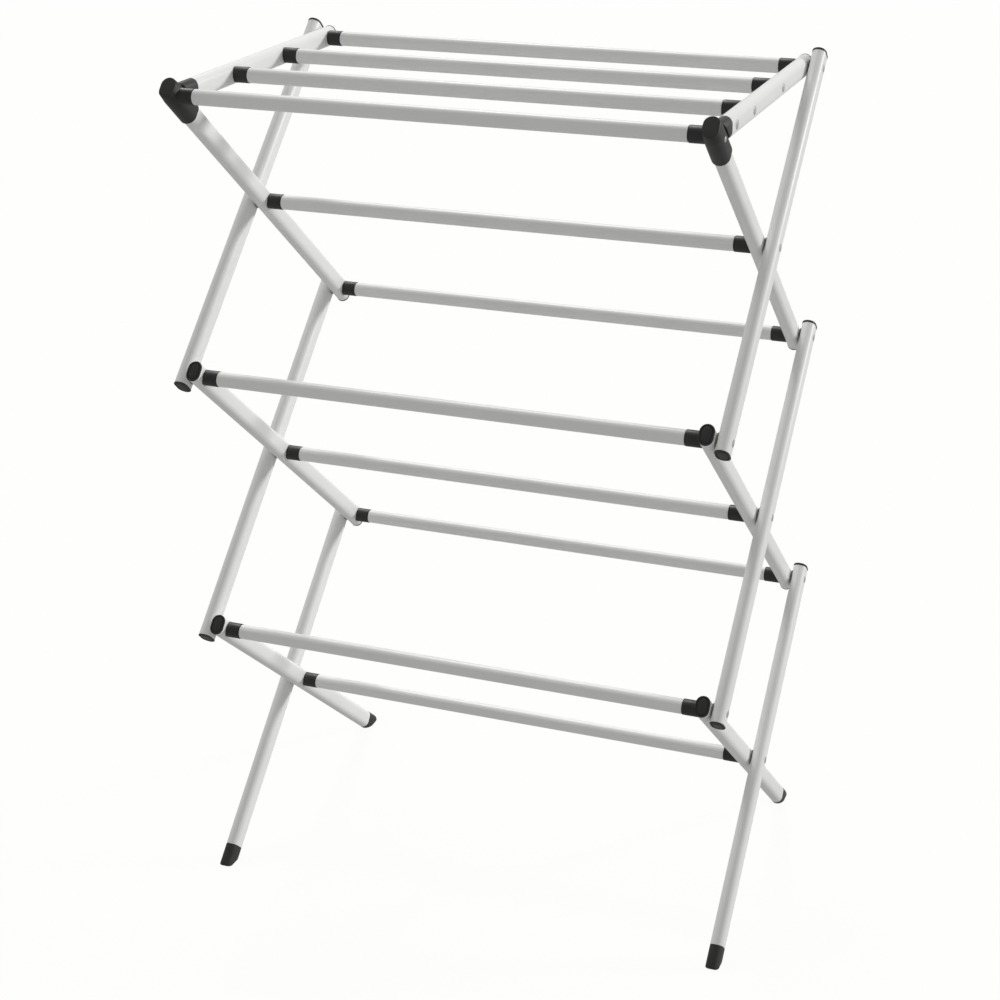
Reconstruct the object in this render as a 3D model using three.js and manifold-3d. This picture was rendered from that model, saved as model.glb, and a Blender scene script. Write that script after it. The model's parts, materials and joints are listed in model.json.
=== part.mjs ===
// A folding clothes drying rack: two scissor side frames of flat-oval steel tube, joined by round
// rods, with a hinged top shelf that hooks over the front of the frame. Millimetres, +Z up, +X along
// the rods, +Y towards the back, origin on the floor under the middle of the rack.
import * as THREE from "three";
import { mergeVertices } from "three/addons/utils/BufferGeometryUtils.js";
import Module from "manifold-3d";

const wasm = await Module();
wasm.setup();

// ---- Driving dimensions ----------------------------------------------------------------------
const LINK = 500; // pivot to pivot along one scissor tube
const LEAN = THREE.MathUtils.degToRad(47.5); // a tube's lean from the vertical, rack open
const LOW_PIVOTS = 347; // height of the lowest front and rear pivots over the floor

const TUBE_MAJOR = 25; // flat-oval tube, across the tube in the side plane
const TUBE_MINOR = 17; // flat-oval tube, along the rods
const TUBE_WALL = 0.8;
const INNER_PLANE = 316.6; // middle of the inner tubes and of the shelf rails, from the centre
const PLANE_STEP = 18.3; // from the inner tubes' plane to the outer tubes' plane
const PAST_PIVOT = 16; // how far a tube runs on past its end pivot
const PAST_TOP_PIVOT = 18.4; // the same, at the top of the upper outer tubes

const ROD_DIAMETER = 18;
const ROD_WALL = 0.7;
const COLLAR_DIAMETER = 19;
const COLLAR_LENGTH = 18;
const SPIGOT_DIAMETER = 15.4; // the collar's part inside the rod
const SPIGOT_LENGTH = 12;
const PIN_DIAMETER = 6;
const PIN_HEAD = 10;
const PIN_HEAD_THICKNESS = 0.9;
const WASHER_DIAMETER = 22;
const SHELF_RODS = [126, 249]; // the two rods of the shelf, measured back from the front pivot

const PLUG_HEAD = 1.3; // thickness of a tube plug outside its tube
const TALL_PLUG_HEAD = 2.4; // the same, at the top of the upper outer tubes
const PLUG_DEPTH = 12;
const FOOT_START = 491.4; // where the foot meets its tube, from the tube's upper pivot
const FOOT_LENGTH = 30; // along the foot's long side
const FOOT_INSERT = 20;

const SLEEVE_MAJOR = 28.6; // corner fitting around the top of the upper inner tube
const SLEEVE_MINOR = 21.4;
const SLEEVE_ABOVE = 18; // from the front top pivot to the fitting's end face
const SLEEVE_BELOW = 39; // from the front top pivot to the sleeve's lower end
const HEAD_BELOW = 12; // the fitting is solid down to here
const HOOK_CAP_END = 38.5; // where the hook cap meets the shelf rail, from the front top pivot
const HOOK_INSERT = 30;
const TOOTH_WIDTH = 8;
const TOOTH_REAR = 12; // upright rear face of the hook's tooth, behind the front top pivot
const TOOTH_FRONT = 7;
const TOOTH_TIP = 8.7; // depth line of the tooth's tip, from the inner tube's middle line

const GAP = 0.3; // running clearance and the space between touching pieces
const LOOP_GAP = 0.6; // clearance of the pins that close the scissor loops
const ARC_STEPS = 4; // straight facets in each half circle of a flat-oval outline
const ROUND_STEPS = 10;

// ---- Derived places --------------------------------------------------------------------------
const SIN = Math.sin(LEAN);
const COS = Math.cos(LEAN);
const HALF_DEPTH = (LINK * SIN) / 2;
const TIER = LINK * COS;
const OUTER_PLANE = INNER_PLANE + PLANE_STEP;
const INNER_FACE = INNER_PLANE - TUBE_MINOR / 2;
const COLLAR_END = INNER_FACE - COLLAR_LENGTH;
const TIERS = ["upper", "middle", "lower"];
const SIDES = { left: -1, right: 1 };
const TUBE_SECTION = [TUBE_MINOR, TUBE_MAJOR];
const BORE_SECTION = TUBE_SECTION.map((size) => size - 2 * TUBE_WALL);
const INSERT_SECTION = BORE_SECTION.map((size) => size - 2 * GAP);

// Pivots in the side plane, as [y, z]. Level 0 is the top.
const levelHeight = (level) => LOW_PIVOTS + (2 - level) * TIER;
const frontPivot = (level) => [-HALF_DEPTH, levelHeight(level)];
const rearPivot = (level) => [HALF_DEPTH, levelHeight(level)];
const crossPivot = (level) => [0, levelHeight(level) - TIER / 2];

// ---- Solids ----------------------------------------------------------------------------------
function solidOf(geometry) {
  geometry.deleteAttribute("normal");
  geometry.deleteAttribute("uv");
  const merged = mergeVertices(geometry, 1e-4);
  const mesh = new wasm.Mesh({
    numProp: 3,
    vertProperties: merged.attributes.position.array,
    triVerts: new Uint32Array(merged.index.array),
  });
  return new wasm.Manifold(mesh);
}

function geometryOf(solid) {
  const mesh = solid.getMesh();
  const geometry = new THREE.BufferGeometry();
  geometry.setAttribute("position", new THREE.BufferAttribute(mesh.vertProperties, 3));
  geometry.setIndex(new THREE.BufferAttribute(mesh.triVerts, 1));
  geometry.computeVertexNormals();
  return geometry;
}

function ovalShape([minor, major]) {
  const radius = minor / 2;
  const straight = major / 2 - radius;
  const shape = new THREE.Shape();
  shape.absarc(0, straight, radius, 0, Math.PI, false);
  shape.absarc(0, -straight, radius, Math.PI, 2 * Math.PI, false);
  return shape;
}

// A flat-oval bar along a tube. The tube's own frame has its origin at the upper pivot and -Z
// down the tube, so from and to are distances down the tube.
function ovalBar(section, from, to) {
  const options = { depth: to - from, bevelEnabled: false, curveSegments: ARC_STEPS };
  return solidOf(new THREE.ExtrudeGeometry(ovalShape(section), options).translate(0, 0, -to));
}

// A prism along X, from an outline of [distance down the tube, distance across it] points.
function prism(outline, width) {
  const shape = new THREE.Shape(outline.map(([down, across]) => new THREE.Vector2(down, across)));
  const bar = new THREE.ExtrudeGeometry(shape, { depth: width, bevelEnabled: false });
  return solidOf(bar.translate(0, 0, -width / 2).rotateY(Math.PI / 2));
}

function crossBar(diameter, from, to, down = 0) {
  const bar = new THREE.CylinderGeometry(diameter / 2, diameter / 2, Math.abs(to - from), ROUND_STEPS);
  return solidOf(bar.rotateZ(Math.PI / 2).translate((from + to) / 2, 0, -down));
}

// A hollow flat-oval tube with cross holes, each hole given as [distance down, diameter].
function ovalTube(from, to, holes) {
  let tube = ovalBar(TUBE_SECTION, from, to).subtract(ovalBar(BORE_SECTION, from - 1, to + 1));
  for (const [down, diameter] of holes) {
    tube = tube.subtract(crossBar(diameter, -TUBE_MINOR, TUBE_MINOR, down));
  }
  return geometryOf(tube);
}

// A solid turned about the X axis, from [x, radius] points that start and end on the axis.
function turned(profile) {
  const points = profile.map(([x, radius]) => new THREE.Vector2(radius, x));
  return new THREE.LatheGeometry(points, ROUND_STEPS).rotateZ(-Math.PI / 2);
}

// ---- Materials and placing -------------------------------------------------------------------
const whitePaint = () =>
  new THREE.MeshStandardMaterial({ color: 0xf0f0ec, roughness: 0.4, metalness: 0.0 });
const blackPlastic = () =>
  new THREE.MeshStandardMaterial({ color: 0x242423, roughness: 0.5, metalness: 0.0 });

const rack = new THREE.Group();

function addMesh(name, geometry, material, [x, y, z], lean = 0) {
  const mesh = new THREE.Mesh(geometry, material);
  mesh.name = name;
  mesh.position.set(x, y, z);
  mesh.rotation.x = lean;
  rack.add(mesh);
}

// ---- Scissor tubes ---------------------------------------------------------------------------
const HOLE = PIN_DIAMETER + 2 * GAP;
const LOOP_HOLE = PIN_DIAMETER + 2 * LOOP_GAP;

// Outer tubes run from a rear top pivot down to a front pivot, inner tubes the other way.
function addScissorTubes(side, sign) {
  TIERS.forEach((tier, level) => {
    const isUpper = level === 0;
    const end = level === 2 ? FOOT_START : LINK + PAST_PIVOT;
    const lowHole = level === 2 ? [] : [[LINK, HOLE]];
    const outerStart = isUpper ? -PAST_TOP_PIVOT : -PAST_PIVOT;
    const outerHoles = [[0, isUpper ? HOLE : LOOP_HOLE], [LINK / 2, HOLE], ...lowHole];
    const outer = ovalTube(outerStart, end, outerHoles);
    const rearPlace = [sign * OUTER_PLANE, ...rearPivot(level)];
    addMesh(`outer_tube_${tier}_${side}`, outer, whitePaint(), rearPlace, -LEAN);
    const innerStart = isUpper ? HEAD_BELOW + GAP : -PAST_PIVOT;
    const innerHoles = [...(isUpper ? [] : [[0, HOLE]]), [LINK / 2, HOLE], ...lowHole];
    const inner = ovalTube(innerStart, end, innerHoles);
    const frontPlace = [sign * INNER_PLANE, ...frontPivot(level)];
    addMesh(`inner_tube_${tier}_${side}`, inner, whitePaint(), frontPlace, LEAN);
  });
}

// ---- Shelf rails and their hook caps ---------------------------------------------------------
const ALONG_Y = Math.PI / 2; // a tube's frame turned so that it runs straight back

function addShelfRail(side, sign) {
  const holes = [...SHELF_RODS, 2 * HALF_DEPTH].map((down) => [down, HOLE]);
  const rail = ovalTube(HOOK_CAP_END + GAP, 2 * HALF_DEPTH + PAST_PIVOT, holes);
  addMesh(`shelf_rail_${side}`, rail, whitePaint(), [sign * INNER_PLANE, ...frontPivot(0)], ALONG_Y);
}

// Height over the front top pivot of the line that runs beside the inner tube at a distance.
const heightOnLine = (distance, back) => (distance - COS * back) / SIN;

function addHookCap(side, sign) {
  const cap = ovalBar(TUBE_SECTION, 0, HOOK_CAP_END);
  const insert = ovalBar(INSERT_SECTION, HOOK_CAP_END - 1, HOOK_CAP_END + HOOK_INSERT);
  const slope = [-40, HOOK_CAP_END - 2].map((back) => [back, heightOnLine(SLEEVE_MAJOR / 2 + GAP, back)]);
  const frontCut = prism([...slope, [-40, -40]], 2 * TUBE_MINOR);
  const tooth = prism(
    [
      [TOOTH_REAR, heightOnLine(TOOTH_TIP, TOOTH_REAR)],
      [TOOTH_REAR, TUBE_MAJOR / 2 - 2],
      [TOOTH_FRONT, TUBE_MAJOR / 2 - 0.6],
      [TOOTH_FRONT, heightOnLine(TOOTH_TIP, TOOTH_FRONT)],
    ],
    TOOTH_WIDTH,
  );
  const hook = cap.subtract(frontCut).add(insert).add(tooth);
  const place = [sign * INNER_PLANE, ...frontPivot(0)];
  addMesh(`shelf_hook_${side}`, geometryOf(hook), blackPlastic(), place, ALONG_Y);
}

// ---- Corner fittings -------------------------------------------------------------------------
// A sleeve over the upper inner tube, closed at the top, with the collar of the front top rod on
// its inner side and a ramped pocket behind for the hook's tooth.
function addCornerFitting(side, sign) {
  const section = [SLEEVE_MINOR, SLEEVE_MAJOR];
  const clearBore = TUBE_SECTION.map((size) => size + 2 * GAP);
  const bore = ovalBar(clearBore, HEAD_BELOW, SLEEVE_BELOW + 1);
  const collar = crossBar(COLLAR_DIAMETER, 0, -sign * (INNER_PLANE - COLLAR_END));
  const spigotEnd = INNER_PLANE - COLLAR_END + SPIGOT_LENGTH;
  const spigot = crossBar(SPIGOT_DIAMETER, 0, -sign * spigotEnd);
  const floor = TOOTH_TIP - GAP;
  const wall = TOOTH_REAR + GAP;
  const downOnWall = (across) => (wall - COS * across) / SIN;
  const pocket = prism(
    [
      [downOnWall(floor), floor],
      [downOnWall(SLEEVE_MAJOR), SLEEVE_MAJOR],
      [-12.5, SLEEVE_MAJOR],
      [-12.5, SLEEVE_MAJOR / 2 + GAP],
      [1, floor],
    ],
    TOOTH_WIDTH + 2 * GAP,
  );
  const body = ovalBar(section, -SLEEVE_ABOVE, SLEEVE_BELOW).add(collar).add(spigot);
  const fitting = body.subtract(bore).subtract(pocket);
  const place = [sign * INNER_PLANE, ...frontPivot(0)];
  addMesh(`corner_fitting_${side}`, geometryOf(fitting), blackPlastic(), place, LEAN);
}

// ---- Rods and the fittings at their ends -----------------------------------------------------
function addRod(name, [y, z]) {
  const halfLength = COLLAR_END - GAP;
  const outside = ROD_DIAMETER / 2;
  const inside = outside - ROD_WALL;
  const start = [-halfLength, outside];
  const profile = [start, [halfLength, outside], [halfLength, inside], [-halfLength, inside], start];
  addMesh(name, turned(profile), whitePaint(), [0, y, z]);
}

// A collar with its spigot in the rod and its headed pin through the tubes. A pivot pin also
// carries the spacing washer between the inner and the outer tube.
function rodEnd(isPivot) {
  const spigot = SPIGOT_DIAMETER / 2;
  const collar = COLLAR_DIAMETER / 2;
  const pin = PIN_DIAMETER / 2;
  const washer = WASHER_DIAMETER / 2;
  const head = PIN_HEAD / 2;
  const innerTubeOut = INNER_PLANE + TUBE_MINOR / 2 + GAP;
  const outerTubeIn = OUTER_PLANE - TUBE_MINOR / 2 - GAP;
  const headIn = isPivot ? OUTER_PLANE + TUBE_MINOR / 2 + GAP : innerTubeOut;
  const spacer = [[innerTubeOut, pin], [innerTubeOut, washer], [outerTubeIn, washer], [outerTubeIn, pin]];
  return turned([
    [COLLAR_END - SPIGOT_LENGTH, 0],
    [COLLAR_END - SPIGOT_LENGTH, spigot],
    [COLLAR_END, spigot],
    [COLLAR_END, collar],
    [INNER_FACE - GAP, collar],
    [INNER_FACE - GAP, pin],
    ...(isPivot ? spacer : []),
    [headIn, pin],
    [headIn, head],
    [headIn + PIN_HEAD_THICKNESS, head],
    [headIn + PIN_HEAD_THICKNESS, 0],
  ]);
}

function addRodWithEnds(name, place, isPivot) {
  addRod(name, place);
  for (const [side, sign] of Object.entries(SIDES)) {
    const end = rodEnd(isPivot);
    if (sign < 0) end.rotateZ(Math.PI);
    addMesh(`${name}_end_${side}`, end, blackPlastic(), [0, ...place]);
  }
}

// ---- Plugs and feet --------------------------------------------------------------------------
function addPlug(name, x, pivot, lean, tubeStart, thickness) {
  const head = ovalBar(TUBE_SECTION, tubeStart - GAP - thickness, tubeStart - GAP);
  const insert = ovalBar(INSERT_SECTION, tubeStart - GAP - 0.5, tubeStart + PLUG_DEPTH);
  addMesh(name, geometryOf(head.add(insert)), blackPlastic(), [x, ...pivot], lean);
}

// A foot continues its tube and is cut level with the floor.
function addFoot(name, x, pivot, lean) {
  const start = FOOT_START + GAP;
  const floorDown = LOW_PIVOTS / COS;
  const body = ovalBar(TUBE_SECTION, start, FOOT_START + FOOT_LENGTH);
  const insert = ovalBar(INSERT_SECTION, start - FOOT_INSERT, start + 1);
  const ground = new THREE.BoxGeometry(100, 200, 100).translate(0, 0, -50);
  const underFloor = solidOf(ground.rotateX(-lean).translate(0, 0, -floorDown));
  addMesh(name, geometryOf(body.add(insert).subtract(underFloor)), blackPlastic(), [x, ...pivot], lean);
}

// ---- Assembly --------------------------------------------------------------------------------
for (const [side, sign] of Object.entries(SIDES)) {
  addScissorTubes(side, sign);
  addShelfRail(side, sign);
  addHookCap(side, sign);
  addCornerFitting(side, sign);
  const outerX = sign * OUTER_PLANE;
  const innerX = sign * INNER_PLANE;
  addPlug(`outer_upper_top_plug_${side}`, outerX, rearPivot(0), -LEAN, -PAST_TOP_PIVOT, TALL_PLUG_HEAD);
  addPlug(`inner_middle_top_plug_${side}`, innerX, frontPivot(1), LEAN, -PAST_PIVOT, PLUG_HEAD);
  addPlug(`inner_lower_top_plug_${side}`, innerX, frontPivot(2), LEAN, -PAST_PIVOT, PLUG_HEAD);
  addFoot(`foot_front_${side}`, outerX, rearPivot(2), -LEAN);
  addFoot(`foot_rear_${side}`, innerX, frontPivot(2), LEAN);
}

addRod("front_top_rod", frontPivot(0));
SHELF_RODS.forEach((back, index) => {
  addRodWithEnds(`shelf_rod_${index + 1}`, [back - HALF_DEPTH, levelHeight(0)], false);
});
addRodWithEnds("rear_top_rod", rearPivot(0), true);
TIERS.forEach((tier, level) => addRodWithEnds(`${tier}_cross_rod`, crossPivot(level), true));
["upper", "lower"].forEach((name, index) => {
  addRodWithEnds(`${name}_front_rod`, frontPivot(index + 1), true);
  addRodWithEnds(`${name}_rear_rod`, rearPivot(index + 1), true);
});

export default rack;
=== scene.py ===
import json
import math

import bmesh
import bpy
from mathutils import Matrix, Vector


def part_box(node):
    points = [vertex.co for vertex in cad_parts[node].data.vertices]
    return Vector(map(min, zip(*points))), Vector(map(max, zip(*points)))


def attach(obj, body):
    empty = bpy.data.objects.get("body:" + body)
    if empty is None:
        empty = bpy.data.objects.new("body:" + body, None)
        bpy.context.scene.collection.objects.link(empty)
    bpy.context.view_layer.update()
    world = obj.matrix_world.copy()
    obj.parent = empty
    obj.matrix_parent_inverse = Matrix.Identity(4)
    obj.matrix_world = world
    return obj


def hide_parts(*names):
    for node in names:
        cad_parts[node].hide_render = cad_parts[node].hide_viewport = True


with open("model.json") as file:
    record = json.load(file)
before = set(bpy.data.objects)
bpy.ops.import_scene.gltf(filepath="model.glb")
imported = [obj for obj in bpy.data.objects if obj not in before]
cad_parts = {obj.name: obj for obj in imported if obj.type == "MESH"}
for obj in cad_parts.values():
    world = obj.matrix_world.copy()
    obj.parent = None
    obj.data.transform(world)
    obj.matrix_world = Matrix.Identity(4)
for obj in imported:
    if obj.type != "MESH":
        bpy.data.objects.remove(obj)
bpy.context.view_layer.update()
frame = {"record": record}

MM = 0.001

# ---- Driving dimensions, in millimetres, the same as in the CAD -------------------------------
TUBE_MAJOR, TUBE_MINOR = 25.0, 17.0
ROD_DIAMETER, COLLAR_DIAMETER, COLLAR_LENGTH = 18.0, 19.0, 18.0
SPIGOT_LENGTH = 12.0
GAP = 0.3  # clearance between touching pieces
PAST_PIVOT, PAST_TOP_PIVOT = 16.0, 18.4  # how far a tube runs on past its end pivot
LINK = 500.0
SHELF_RODS = (126.0, 249.0)
HOOK_CAP_END, SLEEVE_ABOVE, SLEEVE_BELOW, HEAD_BELOW = 38.5, 18.0, 39.0, 12.0
SLEEVE_MINOR, SLEEVE_MAJOR = 21.4, 28.6
FOOT_START, FOOT_LENGTH = 491.4, 30.0
TOOTH_WIDTH, TOOTH_REAR, TOOTH_FRONT, TOOTH_TIP = 8.0, 12.0, 7.0, 8.7

# ---- Dimensions that differ from the CAD, or that only this model has --------------------------
TUBE_WALL, ROD_WALL = 1.2, 1.0  # 0.8 and 0.7 in the CAD
PAST_OUTER_TOP, PAST_OUTER_FOOT = 14.9, 15.2  # 16 in the CAD, past the other outer pivots
PLUG_HEAD, TALL_PLUG_HEAD, SHORT_PLUG_HEAD = 1.6, 2.6, 1.2  # 1.3 and 2.4 in the CAD
PLUG_LIP = 0.35  # how far a plug's head overhangs its tube
SPIGOT_RADIUS = 7.6
WASHER_RADIUS, WASHER_BORE = 10.0, 3.2  # the washer is 22 across in the CAD
PIN_HEAD_RADIUS, PIN_HEAD_HEIGHT = 4.6, 0.7  # 10 across and 0.9 high in the CAD
HOOK_INSERT = 28.0
HOOK_RIVET = 56.0  # from the front top pivot back to the rivet of the hook cap
AXIS = 0.01  # radius of a turned body's end rings, so that they can be capped
ALONG_Y = math.pi / 2  # a tube's frame turned so that it runs straight back

JOINTS = {j["name"]: [c / MM for c in j["pos_m"]] for j in frame["record"]["behaviour"]["joints"]}
LOW_PIVOTS = JOINTS["middle_front_pivot"][2]
TIER = JOINTS["upper_front_pivot"][2] - LOW_PIVOTS
HALF_DEPTH = -JOINTS["middle_front_pivot"][1]
LEAN = math.atan2(2 * HALF_DEPTH, TIER)
SIN, COS = math.sin(LEAN), math.cos(LEAN)


def middle_x(node):
    low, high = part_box(node)
    return (low[0] + high[0]) / 2 / MM


INNER_PLANE = middle_x("inner_tube_lower_right")
OUTER_PLANE = middle_x("outer_tube_lower_right")
INNER_FACE = INNER_PLANE - TUBE_MINOR / 2
COLLAR_END = INNER_FACE - COLLAR_LENGTH
SIDES = {"left": -1, "right": 1}
TIERS = ("upper", "middle", "lower")
INNER_BODIES = ("upper_inner_frame", "middle_inner_frame", "inner_legs")
OUTER_BODIES = ("upper_outer_tubes", "middle_outer_tubes", "outer_legs")


def level_height(level):
    return LOW_PIVOTS + (2 - level) * TIER


def front_pivot(level):
    return (-HALF_DEPTH, level_height(level))


def rear_pivot(level):
    return (HALF_DEPTH, level_height(level))


def cross_pivot(level):
    return (0.0, level_height(level) - TIER / 2)


# ---- Outlines --------------------------------------------------------------------------------
def rounded(corners, closed=True, steps=5):
    """A polyline of (u, v, radius) corners with each corner turned into an arc."""
    points = []
    count = len(corners)
    for i, (u, v, radius) in enumerate(corners):
        here = Vector((u, v))
        if radius <= 0 or (not closed and i in (0, count - 1)):
            points.append((u, v))
            continue
        before = Vector(corners[i - 1][:2]) - here
        after = Vector(corners[(i + 1) % count][:2]) - here
        angle = before.angle(after)
        reach = min(radius / math.tan(angle / 2), 0.49 * before.length, 0.49 * after.length)
        radius = reach * math.tan(angle / 2)
        bisector = (before.normalized() + after.normalized()).normalized()
        middle = here + bisector * radius / math.sin(angle / 2)
        start = here + before.normalized() * reach - middle
        turn = start.angle_signed(here + after.normalized() * reach - middle)
        for k in range(steps + 1):
            p = middle + Matrix.Rotation(-turn * k / steps, 2) @ start
            points.append((p.x, p.y))
    return points


def oval(minor, major, steps=14):
    """A flat-oval outline: half circles joined by straight sides, the long way along y."""
    radius = max(minor / 2, 0.01)
    straight = max(major / 2 - radius, 0.0)
    arc = [math.pi * k / steps for k in range(steps + 1)]
    top = [(radius * math.cos(a), straight + radius * math.sin(a)) for a in arc]
    return top + [(-x, -y) for x, y in top]


# ---- Meshes ----------------------------------------------------------------------------------
def ring_mesh(rings, closed):
    """Joins rings of points into one surface. An open run of rings is capped at both ends."""
    bm = bmesh.new()
    made = [[bm.verts.new(p) for p in ring] for ring in rings]
    pairs = list(zip(made, made[1:])) + ([(made[-1], made[0])] if closed else [])
    for a, b in pairs:
        for k in range(len(a)):
            n = (k + 1) % len(a)
            bm.faces.new((a[k], a[n], b[n], b[k]))
    if not closed:
        bm.faces.new(made[0][::-1])
        bm.faces.new(made[-1])
    bmesh.ops.recalc_face_normals(bm, faces=bm.faces)
    return bm


def oval_bar(profile, minor=TUBE_MINOR, major=TUBE_MAJOR, closed=False):
    """A bar along a tube from (distance down, inset) points. The tube's own frame has -Z down."""
    rings = []
    for down, inset in profile:
        rings.append([(x, y, -down) for x, y in oval(minor - 2 * inset, major - 2 * inset)])
    return ring_mesh(rings, closed)


def turned(profile, closed=False, segments=56):
    """A body turned about the X axis from (x, radius) points."""
    angles = [2 * math.pi * k / segments for k in range(segments)]
    rings = [[(x, r * math.cos(a), r * math.sin(a)) for a in angles] for x, r in profile]
    return ring_mesh(rings, closed)


def prism(outline, width):
    """A prism along X from (down, across) points in a tube's frame."""
    rings = [[(x, across, -down) for down, across in outline] for x in (-width / 2, width / 2)]
    return ring_mesh(rings, closed=False)


def place(x, pivot, lean):
    return Matrix.Translation((x, pivot[0], pivot[1])) @ Matrix.Rotation(lean, 4, "X")


def plain_object(name, bm, matrix):
    bm.transform(Matrix.Scale(MM, 4) @ matrix)
    mesh = bpy.data.meshes.new(name)
    bm.to_mesh(mesh)
    bm.free()
    obj = bpy.data.objects.new(name, mesh)
    bpy.context.scene.collection.objects.link(obj)
    return obj


def cut(obj, tools, operation="DIFFERENCE"):
    """Applies boolean tools to an object and removes them."""
    for tool in tools:
        modifier = obj.modifiers.new("cut", "BOOLEAN")
        modifier.operation = operation
        modifier.solver = "EXACT"
        modifier.object = tool
    bake(obj)
    for tool in tools:
        bpy.data.objects.remove(tool)


def bake(obj):
    graph = bpy.context.evaluated_depsgraph_get()
    mesh = bpy.data.meshes.new_from_object(obj.evaluated_get(graph))
    obj.modifiers.clear()
    old = obj.data
    obj.data = mesh
    bpy.data.meshes.remove(old)


def soften(obj, width, angle=35.0, segments=3):
    modifier = obj.modifiers.new("edges", "BEVEL")
    modifier.width = width * MM
    modifier.segments = segments
    modifier.limit_method = "ANGLE"
    modifier.angle_limit = math.radians(angle)
    bake(obj)


def finish_piece(obj, material, body, nodes=(), smooth=38.0):
    mesh = obj.data
    mesh.materials.clear()
    mesh.materials.append(material)
    mesh.shade_smooth()
    mesh.set_sharp_from_angle(angle=math.radians(smooth))
    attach(obj, body)
    if nodes:
        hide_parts(*nodes)
    return obj


# ---- Materials -------------------------------------------------------------------------------
def new_material(name, roughness, specular):
    material = bpy.data.materials.new(name)
    material.use_nodes = True
    shader = material.node_tree.nodes["Principled BSDF"]
    shader.inputs["Roughness"].default_value = roughness
    shader.inputs["Specular IOR Level"].default_value = specular
    return material, shader


def noise(material, scale, detail=2.0):
    tree = material.node_tree
    coords = tree.nodes.new("ShaderNodeTexCoord")
    texture = tree.nodes.new("ShaderNodeTexNoise")
    texture.inputs["Scale"].default_value = scale
    texture.inputs["Detail"].default_value = detail
    tree.links.new(coords.outputs["Object"], texture.inputs["Vector"])
    return texture.outputs["Fac"]


def vary(material, source, socket, low, high):
    """Drives a number socket between two values by a texture."""
    tree = material.node_tree
    spread = tree.nodes.new("ShaderNodeMapRange")
    spread.inputs["From Min"].default_value = 0.3
    spread.inputs["From Max"].default_value = 0.7
    spread.inputs["To Min"].default_value = low
    spread.inputs["To Max"].default_value = high
    tree.links.new(source, spread.inputs["Value"])
    tree.links.new(spread.outputs["Result"], socket)


def tint(material, source, socket, dark, light):
    tree = material.node_tree
    ramp = tree.nodes.new("ShaderNodeValToRGB")
    ramp.color_ramp.elements[0].position = 0.3
    ramp.color_ramp.elements[1].position = 0.7
    ramp.color_ramp.elements[0].color = (*dark, 1)
    ramp.color_ramp.elements[1].color = (*light, 1)
    tree.links.new(source, ramp.inputs["Fac"])
    tree.links.new(ramp.outputs["Color"], socket)


def bump(material, source, shader, strength, distance):
    tree = material.node_tree
    node = tree.nodes.new("ShaderNodeBump")
    node.inputs["Strength"].default_value = strength
    node.inputs["Distance"].default_value = distance * MM
    tree.links.new(source, node.inputs["Height"])
    tree.links.new(node.outputs["Normal"], shader.inputs["Normal"])


def powder_coat(name, dark, light):
    """White powder paint: even colour, satin, with the fine orange peel of a baked coat."""
    material, shader = new_material(name, 0.42, 0.35)
    cloud = noise(material, 14.0)
    peel = noise(material, 620.0, 3.0)
    tint(material, cloud, shader.inputs["Base Color"], dark, light)
    vary(material, peel, shader.inputs["Roughness"], 0.36, 0.48)
    bump(material, peel, shader, 0.05, 0.03)
    return material


def moulded(name, dark, light, roughness=0.46):
    """Spark-textured black polypropylene."""
    material, shader = new_material(name, roughness, 0.3)
    cloud = noise(material, 60.0)
    grain = noise(material, 2200.0, 2.0)
    tint(material, cloud, shader.inputs["Base Color"], dark, light)
    vary(material, cloud, shader.inputs["Roughness"], roughness - 0.05, roughness + 0.07)
    bump(material, grain, shader, 0.3, 0.03)
    return material


def metal(name, dark, light):
    material, shader = new_material(name, 0.4, 0.5)
    shader.inputs["Metallic"].default_value = 0.85
    cloud = noise(material, 900.0)
    tint(material, cloud, shader.inputs["Base Color"], dark, light)
    vary(material, cloud, shader.inputs["Roughness"], 0.32, 0.5)
    return material


TUBE_PAINT = powder_coat("tube_powder_coat", (0.790, 0.795, 0.775), (0.815, 0.820, 0.800))
ROD_PAINT = powder_coat("rod_powder_coat", (0.780, 0.785, 0.765), (0.805, 0.810, 0.790))
PLASTIC = moulded("black_moulded_plastic", (0.023, 0.023, 0.022), (0.029, 0.029, 0.027))
HOOK_PLASTIC = moulded("hook_plastic", (0.034, 0.034, 0.033), (0.044, 0.044, 0.042), 0.5)
WASHER_PLASTIC = moulded("grey_washer_plastic", (0.24, 0.235, 0.225), (0.29, 0.285, 0.275))
RIVET_STEEL = metal("rivet_steel", (0.50, 0.50, 0.49), (0.60, 0.60, 0.59))


# ---- Tubes -----------------------------------------------------------------------------------
def tube_profile(start, end, edge=0.4):
    """A tube wall's section, turned in at both ends with a rounded rim."""
    corners = [(start, 0), (end, 0), (end, TUBE_WALL), (start, TUBE_WALL)]
    return rounded([(down, inset, edge) for down, inset in corners])


def make_tube(name, body, x, pivot, lean, start, end):
    wall = oval_bar(tube_profile(start, end), closed=True)
    obj = plain_object(name + "_paint", wall, place(x, pivot, lean))
    return finish_piece(obj, TUBE_PAINT, body, [name])


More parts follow.
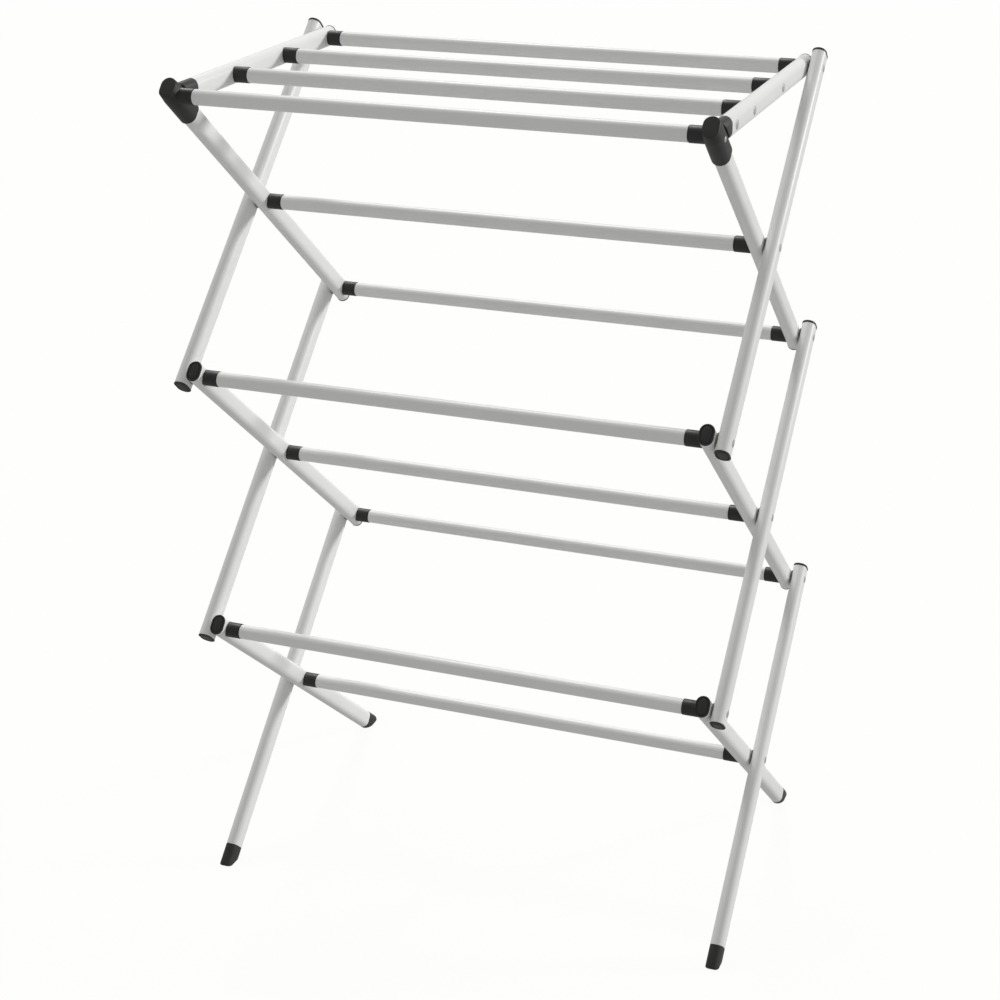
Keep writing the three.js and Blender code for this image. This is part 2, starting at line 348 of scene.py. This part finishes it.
def make_plug(name, body, x, pivot, lean, start, nodes=(), down=1.0, head=PLUG_HEAD):
    """A tube plug: a head that overhangs the tube a little, with a groove round its crowned
    middle, and its barrel inside the tube. start is the tube's end, and down the direction from
    there into the tube."""
    inside = TUBE_WALL + 0.15
    outline = rounded(
        [
            (-head - 0.25, 7.4, 0),
            (-head + 0.1, 3.0, 2.0),
            (-head + 0.9, 2.4, 0.2),
            (-head + 0.9, 1.6, 0.2),
            (-head, 1.2, 0.3),
            (-head, -PLUG_LIP, 0.6),
            (0.0, -PLUG_LIP, 0.2),
            (0.0, inside, 0),
            (12.0, inside, 0.6),
            (12.0, 7.0, 0),
        ],
        closed=False,
    )
    profile = [(start + down * (u - 0.1), v) for u, v in outline]
    obj = plain_object(name + "_moulding", oval_bar(profile), place(x, pivot, lean))
    return finish_piece(obj, PLASTIC, body, nodes)


def make_side_tubes(side, sign):
    outer_x, inner_x = sign * OUTER_PLANE, sign * INNER_PLANE
    for level, tier in enumerate(TIERS):
        upper, lower = level == 0, level == 2
        outer_body, inner_body = OUTER_BODIES[level], INNER_BODIES[level]
        outer = (outer_body, outer_x, rear_pivot(level), -LEAN)
        inner = (inner_body, inner_x, front_pivot(level), LEAN)
        outer_start = -PAST_TOP_PIVOT if upper else -PAST_OUTER_TOP
        outer_end = FOOT_START if lower else LINK + PAST_OUTER_FOOT
        inner_start = HEAD_BELOW + GAP if upper else -PAST_PIVOT
        inner_end = FOOT_START if lower else LINK + PAST_PIVOT
        make_tube(f"outer_tube_{tier}_{side}", *outer, outer_start, outer_end)
        make_tube(f"inner_tube_{tier}_{side}", *inner, inner_start, inner_end)
        outer_node = [f"outer_upper_top_plug_{side}"] if upper else []
        inner_node = [] if upper else [f"inner_{tier}_top_plug_{side}"]
        make_plug(f"outer_{tier}_top_plug_{side}", *outer, outer_start, outer_node, head=TALL_PLUG_HEAD)
        if not upper:
            make_plug(f"inner_{tier}_top_plug_{side}", *inner, inner_start, inner_node)
        if not lower:
            make_plug(f"outer_{tier}_low_plug_{side}", *outer, outer_end, down=-1.0, head=SHORT_PLUG_HEAD)
            make_plug(f"inner_{tier}_low_plug_{side}", *inner, inner_end, down=-1.0)


# ---- Feet ------------------------------------------------------------------------------------
def make_foot(name, body, x, pivot, lean):
    """A moulded foot that continues its tube, cut level with the floor, with a blunt tip."""
    start, tip = FOOT_START + GAP, FOOT_START + FOOT_LENGTH
    corners = [(start - 18.0, 7.0, 0), (start - 18.0, 1.5, 0.5), (start, 1.5, 0), (start, -0.05, 0.3)]
    blank = rounded(corners + [(start + 2.0, -0.05, 0)], closed=False)
    body_run = [(start + 2.0 + 0.5 * k, -0.05) for k in range(1, 40)]
    tip_run = rounded([(start + 22.0, -0.05, 0), (tip, -0.05, 5.5), (tip, 6.0, 0)], closed=False, steps=12)
    fan = [(tip, 6.6), (tip, 7.2), (tip, 7.8), (tip, 8.2)]
    bm = oval_bar(blank + body_run + tip_run[1:] + fan)
    soft = 1.1  # how softly the side turns into the sole
    for vert in bm.verts:
        down = -vert.co.z
        floor = (pivot[1] + vert.co.y * math.sin(lean)) / COS
        if down > floor - 8.0:
            over = (down - floor) / soft
            vert.co.z = -(floor if over > 12 else down - soft * math.log1p(math.exp(over)))
    bmesh.ops.remove_doubles(bm, verts=bm.verts, dist=0.01)
    foot = plain_object(name + "_moulding", bm, place(x, pivot, lean))
    return finish_piece(foot, PLASTIC, body, [name], 50.0)


# ---- Rods and their ends ---------------------------------------------------------------------
def rod_wall(half, edge=0.35):
    """A rod wall's section, half to each side of the middle, with rounded rims."""
    outside, inside = ROD_DIAMETER / 2, ROD_DIAMETER / 2 - ROD_WALL
    corners = [(-half, outside), (half, outside), (half, inside), (-half, inside)]
    return rounded([(x, radius, edge) for x, radius in corners])


def make_rod(name, body, pivot):
    wall = turned(rod_wall(COLLAR_END - GAP), closed=True)
    rod = plain_object(name + "_paint", wall, place(0.0, pivot, 0.0))
    return finish_piece(rod, ROD_PAINT, body, [name])


def mirrored(profile, sign):
    return [(sign * x, r) for x, r in profile]


def saddle(across):
    """How far the flat-oval tube's face falls away at a distance across the tube."""
    radius = TUBE_MINOR / 2
    past = min(max(abs(across) - (TUBE_MAJOR / 2 - radius), 0.0), 0.9 * radius)
    return radius - math.sqrt(radius**2 - past**2)


def make_collar(name, body, pivot, sign, lean=None):
    """The collar at a rod's end: a barrel with eased edges, its spigot inside the rod. With lean
    its outer end is saddled to sit against a tube that leans by that angle."""
    outside = COLLAR_DIAMETER / 2
    profile = rounded(
        [
            (COLLAR_END - SPIGOT_LENGTH, AXIS, 0),
            (COLLAR_END - SPIGOT_LENGTH, SPIGOT_RADIUS, 0.8),
            (COLLAR_END, SPIGOT_RADIUS, 0),
            (COLLAR_END, outside, 0.6),
            (INNER_FACE - 0.1, outside, 0.5),
            (INNER_FACE - 0.1, 8.0, 0),
            (INNER_FACE - 0.1, 6.5, 0),
            (INNER_FACE - 0.1, 3.0, 0),
            (INNER_FACE + 1.0, 2.8, 0),
            (INNER_FACE + 1.0, AXIS, 0),
        ],
        closed=False,
    )
    bm = turned(mirrored(profile, sign))
    if lean is not None:
        for vert in bm.verts:
            if abs(vert.co.x) > INNER_FACE - 2.0:
                across = vert.co.y * math.cos(lean) + vert.co.z * math.sin(lean)
                vert.co.x += sign * saddle(across)
    obj = plain_object(name + "_collar", bm, place(0.0, pivot, 0.0))
    return finish_piece(obj, PLASTIC, body, [name])


def make_pin_head(name, body, pivot, x, sign, radius=PIN_HEAD_RADIUS, height=PIN_HEAD_HEIGHT):
    """A rivet head, crowned, on a tube's outer face."""
    profile = rounded(
        [
            (-0.4, AXIS, 0),
            (-0.4, radius, 0),
            (0.35, radius, 0.3),
            (height, radius * 0.55, 1.4),
            (height + 0.1, AXIS, 0),
        ],
        closed=False,
    )
    shifted = [(sign * (x + u), r) for u, r in profile]
    obj = plain_object(name, turned(shifted, segments=40), place(0.0, pivot, 0.0))
    return finish_piece(obj, RIVET_STEEL, body)


def make_washer(name, body, pivot, sign):
    low, high = INNER_PLANE + TUBE_MINOR / 2 + 0.2, OUTER_PLANE - TUBE_MINOR / 2 - 0.2
    rim = [(low, WASHER_RADIUS, 0.4), (high, WASHER_RADIUS, 0.4)]
    profile = rounded([(low, WASHER_BORE, 0.1)] + rim + [(high, WASHER_BORE, 0.1)])
    obj = plain_object(name, turned(mirrored(profile, sign), closed=True), place(0.0, pivot, 0.0))
    return finish_piece(obj, WASHER_PLASTIC, body)


def make_rod_with_ends(name, body, pivot, is_pivot, lean):
    make_rod(name, body, pivot)
    for side, sign in SIDES.items():
        make_collar(f"{name}_end_{side}", body, pivot, sign, lean)
        if is_pivot:
            make_washer(f"{name}_washer_{side}", body, pivot, sign)
            make_pin_head(f"{name}_pin_head_{side}", body, pivot, OUTER_PLANE + TUBE_MINOR / 2, sign)
        else:
            rivet = f"{name}_rivet_{side}"
            make_pin_head(rivet, body, pivot, INNER_PLANE + TUBE_MINOR / 2, sign, radius=5.2)


# ---- Shelf hooks and corner fittings ---------------------------------------------------------
def height_on_line(distance, back):
    """Height over the front top pivot of the line beside the inner tube at that distance."""
    return (distance - COS * back) / SIN


def make_hook(side, sign):
    """The cap on a shelf rail's front end, cut to the slope of the corner fitting, with a tooth."""
    name = f"shelf_hook_{side}"
    where = place(sign * INNER_PLANE, front_pivot(0), ALONG_Y)
    end = HOOK_CAP_END
    cap = [(-2.0, 6.0, 0), (-2.0, 0, 0), (end, 0, 0.4), (end, 1.5, 0)]
    outline = cap + [(end + HOOK_INSERT, 1.5, 0.5), (end + HOOK_INSERT, 6.0, 0)]
    hook = plain_object(name + "_moulding", oval_bar(rounded(outline, closed=False)), where)
    slope = [(back, height_on_line(SLEEVE_MAJOR / 2 + 0.15, back)) for back in (-60.0, end - 1.5)]
    front = plain_object("front", prism(slope + [(-60.0, -60.0)], 40.0), where)
    cut(hook, [front])
    soften(hook, 0.7, 30.0, 3)
    tooth_outline = [
        (TOOTH_REAR, height_on_line(TOOTH_TIP, TOOTH_REAR)),
        (TOOTH_REAR, TUBE_MAJOR / 2 - 2.0),
        (TOOTH_FRONT, TUBE_MAJOR / 2 - 0.6),
        (TOOTH_FRONT, height_on_line(TOOTH_TIP, TOOTH_FRONT)),
    ]
    tooth = plain_object("tooth", prism(tooth_outline, TOOTH_WIDTH), where)
    soften(tooth, 0.4, 30.0, 3)
    cut(hook, [tooth], "UNION")
    finish_piece(hook, HOOK_PLASTIC, "shelf", [name], 30.0)
    rivet_place = (front_pivot(0)[0] + HOOK_RIVET, front_pivot(0)[1])
    rail_face = INNER_PLANE + TUBE_MINOR / 2
    make_pin_head(f"hook_rivet_{side}", "shelf", rivet_place, rail_face, sign, radius=5.4)


def make_corner_fitting(side, sign):
    """The moulding over the top of an upper inner tube, with the front top rod's collar."""
    name = f"corner_fitting_{side}"
    where = place(sign * INNER_PLANE, front_pivot(0), LEAN)
    wall = (SLEEVE_MINOR - TUBE_MINOR) / 2 - GAP
    outline = rounded(
        [
            (-SLEEVE_ABOVE, 9.0, 0),
            (-SLEEVE_ABOVE, 1.5, 1.0),
            (-4.0, 0.2, 12.0),
            (SLEEVE_BELOW, 0.0, 1.0),
            (SLEEVE_BELOW, wall, 0.2),
            (HEAD_BELOW, wall, 0),
            (HEAD_BELOW, 9.0, 0),
        ],
        closed=False,
        steps=7,
    )
    fitting = plain_object(name + "_moulding", oval_bar(outline, SLEEVE_MINOR, SLEEVE_MAJOR), where)
    reach = INNER_PLANE - COLLAR_END
    radius = COLLAR_DIAMETER / 2
    arm = rounded(
        [
            (-1.0, AXIS, 0),
            (-1.0, radius, 0),
            (reach, radius, 0.7),
            (reach, SPIGOT_RADIUS, 0),
            (reach + SPIGOT_LENGTH, SPIGOT_RADIUS, 0.8),
            (reach + SPIGOT_LENGTH, AXIS, 0),
        ],
        closed=False,
    )
    collar = plain_object("collar", turned(mirrored(arm, -sign)), where)
    cut(fitting, [collar], "UNION")
    floor, rear = TOOTH_TIP - GAP, TOOTH_REAR + GAP
    pocket_outline = [
        ((rear - COS * floor) / SIN, floor),
        ((rear - COS * SLEEVE_MAJOR) / SIN, SLEEVE_MAJOR),
        (-12.5, SLEEVE_MAJOR),
        (-12.5, SLEEVE_MAJOR / 2 + GAP),
        (1.0, floor),
    ]
    pocket = plain_object("pocket", prism(pocket_outline, TOOTH_WIDTH + 2 * GAP), where)
    cut(fitting, [pocket])
    soften(fitting, 0.5, 40.0, 2)
    finish_piece(fitting, PLASTIC, "upper_inner_frame", [name], 32.0)
    pin_place = (front_pivot(0)[0] + 6.0 * COS, front_pivot(0)[1] - 4.0)
    sleeve_face = INNER_PLANE + SLEEVE_MINOR / 2
    make_pin_head(f"corner_pin_{side}", "upper_inner_frame", pin_place, sleeve_face, sign, 3.2, 0.6)


# ---- Assembly --------------------------------------------------------------------------------
def build_rack():
    for side, sign in SIDES.items():
        make_side_tubes(side, sign)
        rail = f"shelf_rail_{side}"
        rail_place = (sign * INNER_PLANE, front_pivot(0), ALONG_Y)
        rail_end = 2 * HALF_DEPTH + PAST_PIVOT
        make_tube(rail, "shelf", *rail_place, HOOK_CAP_END + GAP, rail_end)
        make_plug(f"shelf_rail_plug_{side}", "shelf", *rail_place, rail_end, down=-1.0)
        make_hook(side, sign)
        make_corner_fitting(side, sign)
        make_foot(f"foot_front_{side}", "outer_legs", sign * OUTER_PLANE, rear_pivot(2), -LEAN)
        make_foot(f"foot_rear_{side}", "inner_legs", sign * INNER_PLANE, front_pivot(2), LEAN)
    make_rod("front_top_rod", "upper_inner_frame", front_pivot(0))
    for index, back in enumerate(SHELF_RODS):
        on_shelf = (back - HALF_DEPTH, level_height(0))
        make_rod_with_ends(f"shelf_rod_{index + 1}", "shelf", on_shelf, False, ALONG_Y)
    make_rod_with_ends("rear_top_rod", "rear_top_bar", rear_pivot(0), True, None)
    for level, tier in enumerate(TIERS):
        make_rod_with_ends(f"{tier}_cross_rod", INNER_BODIES[level], cross_pivot(level), True, LEAN)
    for index, tier in enumerate(("upper", "lower")):
        make_rod_with_ends(f"{tier}_front_rod", INNER_BODIES[index + 1], front_pivot(index + 1), True, LEAN)
        make_rod_with_ends(f"{tier}_rear_rod", INNER_BODIES[index], rear_pivot(index + 1), True, LEAN)


# ---- Studio ----------------------------------------------------------------------------------
def make_camera():
    """The photograph's viewing angle. The lens shift is kept small, for the other views."""
    data = bpy.data.cameras.new("camera")
    data.sensor_width = 36.0
    data.lens = 69.593
    data.shift_x, data.shift_y = -0.1042, -0.05
    data.clip_end = 100.0
    camera = bpy.data.objects.new("camera", data)
    back = Vector((0.30884, -0.87059, 0.38301)).normalized()
    right = Vector((0.94332, 0.33181, -0.00644)).normalized()
    up = back.cross(right)
    turn = Matrix((right, up, back)).transposed().to_4x4()
    camera.matrix_world = Matrix.Translation((0.8615, -2.0648, 1.4848)) @ turn
    bpy.context.scene.collection.objects.link(camera)
    bpy.context.scene.camera = camera


def make_floor():
    """A pale floor that gives off its own light, and throws none of it on the rack."""
    bm = bmesh.new()
    bmesh.ops.create_circle(bm, cap_ends=True, radius=60000.0, segments=96)
    floor = plain_object("floor", bm, Matrix.Identity(4))
    material, shader = new_material("pale_floor", 0.9, 0.0)
    shader.inputs["Base Color"].default_value = (0.035, 0.035, 0.035, 1)
    shader.inputs["Emission Color"].default_value = (1, 1, 0.988, 1)
    shader.inputs["Emission Strength"].default_value = 0.957
    floor.data.materials.append(material)
    floor.visible_diffuse = False
    floor.visible_glossy = False


def add_sun(name, direction, energy, angle):
    sun = bpy.data.lights.new(name, "SUN")
    sun.energy = energy
    sun.angle = math.radians(angle)
    lamp = bpy.data.objects.new(name, sun)
    lamp.rotation_mode = "QUATERNION"
    lamp.rotation_quaternion = Vector(direction).to_track_quat("Z", "Y")
    bpy.context.scene.collection.objects.link(lamp)


def make_lights():
    """Two soft suns and an even sky, which the camera sees brighter than it lights the rack."""
    add_sun("back_light", (-0.345, 0.552, 0.759), 1.75, 16.0)
    add_sun("side_light", (0.78, 0.555, 0.25), 1.85, 7.0)
    world = bpy.data.worlds.new("studio")
    world.use_nodes = True
    tree = world.node_tree
    light = tree.nodes["Background"]
    light.inputs["Color"].default_value = (1, 1, 1, 1)
    light.inputs["Strength"].default_value = 0.45
    seen = tree.nodes.new("ShaderNodeBackground")
    seen.inputs["Color"].default_value = (1, 1, 0.988, 1)
    seen.inputs["Strength"].default_value = 0.99
    mix = tree.nodes.new("ShaderNodeMixShader")
    path = tree.nodes.new("ShaderNodeLightPath")
    tree.links.new(path.outputs["Is Camera Ray"], mix.inputs["Fac"])
    tree.links.new(light.outputs["Background"], mix.inputs[1])
    tree.links.new(seen.outputs["Background"], mix.inputs[2])
    tree.links.new(mix.outputs["Shader"], tree.nodes["World Output"].inputs["Surface"])
    bpy.context.scene.world = world
    bpy.context.scene.view_settings.view_transform = "Standard"


build_rack()
make_camera()
make_floor()
make_lights()
